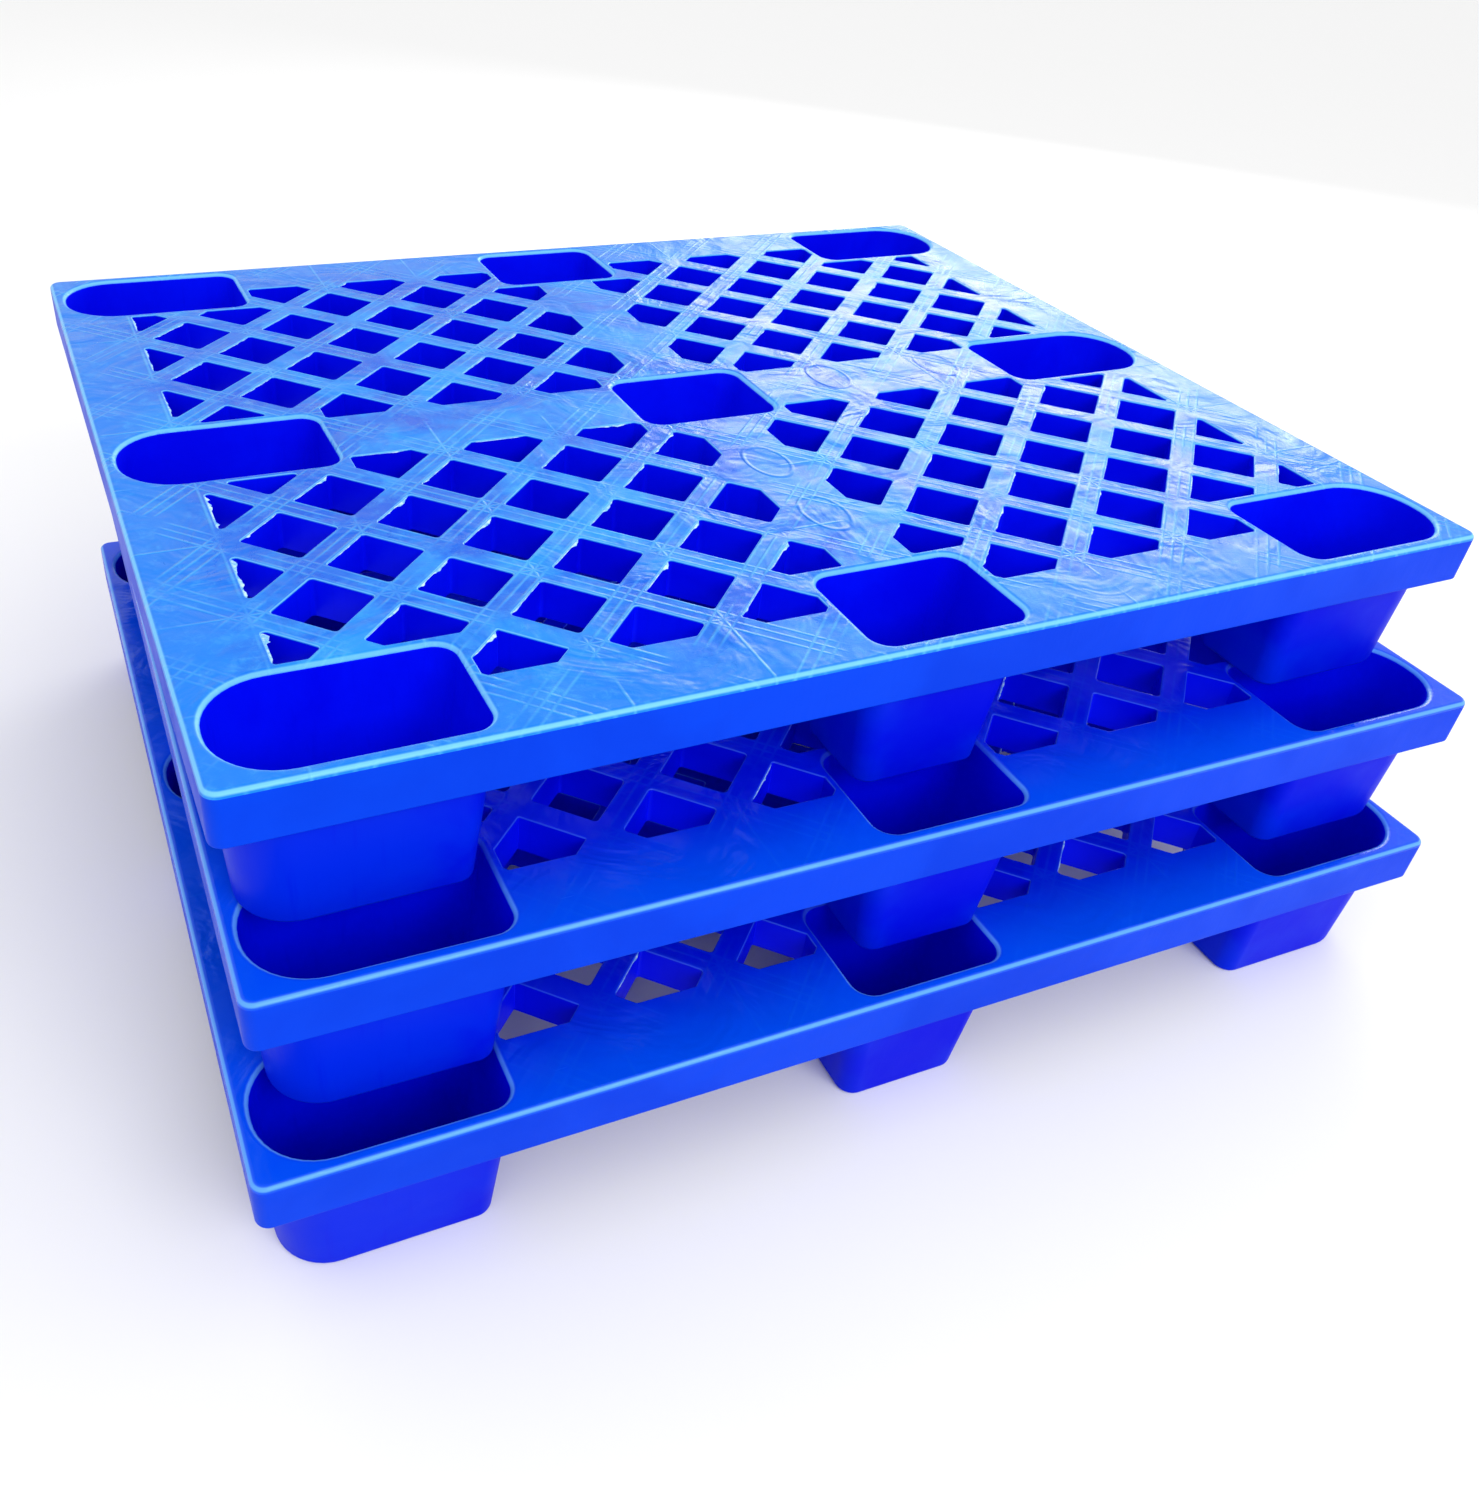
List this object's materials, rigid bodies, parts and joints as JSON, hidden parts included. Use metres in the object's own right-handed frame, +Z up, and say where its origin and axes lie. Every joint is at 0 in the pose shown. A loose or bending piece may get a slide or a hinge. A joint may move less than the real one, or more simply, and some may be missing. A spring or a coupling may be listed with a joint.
{
  "type": "nestable plastic pallet stack",
  "caption": "Stack of identical nestable plastic pallets with open diagonal grid decks, shallow skirts and hollow cup-shaped legs.",
  "frame": {"origin": "on the floor, at the centre of the underside of the bottom pallet's middle leg", "axes": "+X along the pallets' long side, +Y from the front edge to the back edge, +Z up"},
  "size_m": [1.2174, 1.1041, 0.4504],
  "materials": {
    "bottom_hdpe": "injection-moulded blue polyethylene, semi-gloss, scuffed on the deck",
    "middle_hdpe": "injection-moulded blue polyethylene, semi-gloss, scuffed on the deck",
    "top_hdpe": "injection-moulded blue polyethylene, semi-gloss, scuffed on the deck"
  },
  "bodies": {
    "bottom_pallet": {"bottom_band_front": "bottom_hdpe", "bottom_band_back": "bottom_hdpe", "bottom_band_left": "bottom_hdpe", "bottom_band_right": "bottom_hdpe", "bottom_grid_front_left": "bottom_hdpe", "bottom_grid_front_right": "bottom_hdpe", "bottom_grid_back_left": "bottom_hdpe", "bottom_grid_back_right": "bottom_hdpe", "bottom_web_lengthwise": "bottom_hdpe", "bottom_web_crosswise": "bottom_hdpe", "bottom_leg_cup_front_left": "bottom_hdpe", "bottom_leg_cup_middle_left": "bottom_hdpe", "bottom_leg_cup_back_left": "bottom_hdpe", "bottom_leg_cup_front_centre": "bottom_hdpe", "bottom_leg_cup_middle_centre": "bottom_hdpe", "bottom_leg_cup_back_centre": "bottom_hdpe", "bottom_leg_cup_front_right": "bottom_hdpe", "bottom_leg_cup_middle_right": "bottom_hdpe", "bottom_leg_cup_back_right": "bottom_hdpe"},
    "middle_pallet": {"middle_band_front": "middle_hdpe", "middle_band_back": "middle_hdpe", "middle_band_left": "middle_hdpe", "middle_band_right": "middle_hdpe", "middle_grid_front_left": "middle_hdpe", "middle_grid_front_right": "middle_hdpe", "middle_grid_back_left": "middle_hdpe", "middle_grid_back_right": "middle_hdpe", "middle_web_lengthwise": "middle_hdpe", "middle_web_crosswise": "middle_hdpe", "middle_leg_cup_front_left": "middle_hdpe", "middle_leg_cup_middle_left": "middle_hdpe", "middle_leg_cup_back_left": "middle_hdpe", "middle_leg_cup_front_centre": "middle_hdpe", "middle_leg_cup_middle_centre": "middle_hdpe", "middle_leg_cup_back_centre": "middle_hdpe", "middle_leg_cup_front_right": "middle_hdpe", "middle_leg_cup_middle_right": "middle_hdpe", "middle_leg_cup_back_right": "middle_hdpe"},
    "top_pallet": {"top_band_front": "top_hdpe", "top_band_back": "top_hdpe", "top_band_left": "top_hdpe", "top_band_right": "top_hdpe", "top_grid_front_left": "top_hdpe", "top_grid_front_right": "top_hdpe", "top_grid_back_left": "top_hdpe", "top_grid_back_right": "top_hdpe", "top_web_lengthwise": "top_hdpe", "top_web_crosswise": "top_hdpe", "top_leg_cup_front_left": "top_hdpe", "top_leg_cup_middle_left": "top_hdpe", "top_leg_cup_back_left": "top_hdpe", "top_leg_cup_front_centre": "top_hdpe", "top_leg_cup_middle_centre": "top_hdpe", "top_leg_cup_back_centre": "top_hdpe", "top_leg_cup_front_right": "top_hdpe", "top_leg_cup_middle_right": "top_hdpe", "top_leg_cup_back_right": "top_hdpe"}
  },
  "joints": [
    {"name": "middle_lift_off", "type": "slide", "parent": "bottom_pallet", "child": "middle_pallet", "axis": [0, 0, 1], "range_m": [0, 0.25]},
    {"name": "top_lift_off", "type": "slide", "parent": "middle_pallet", "child": "top_pallet", "axis": [0, 0, 1], "range_m": [0, 0.25]}
  ]
}
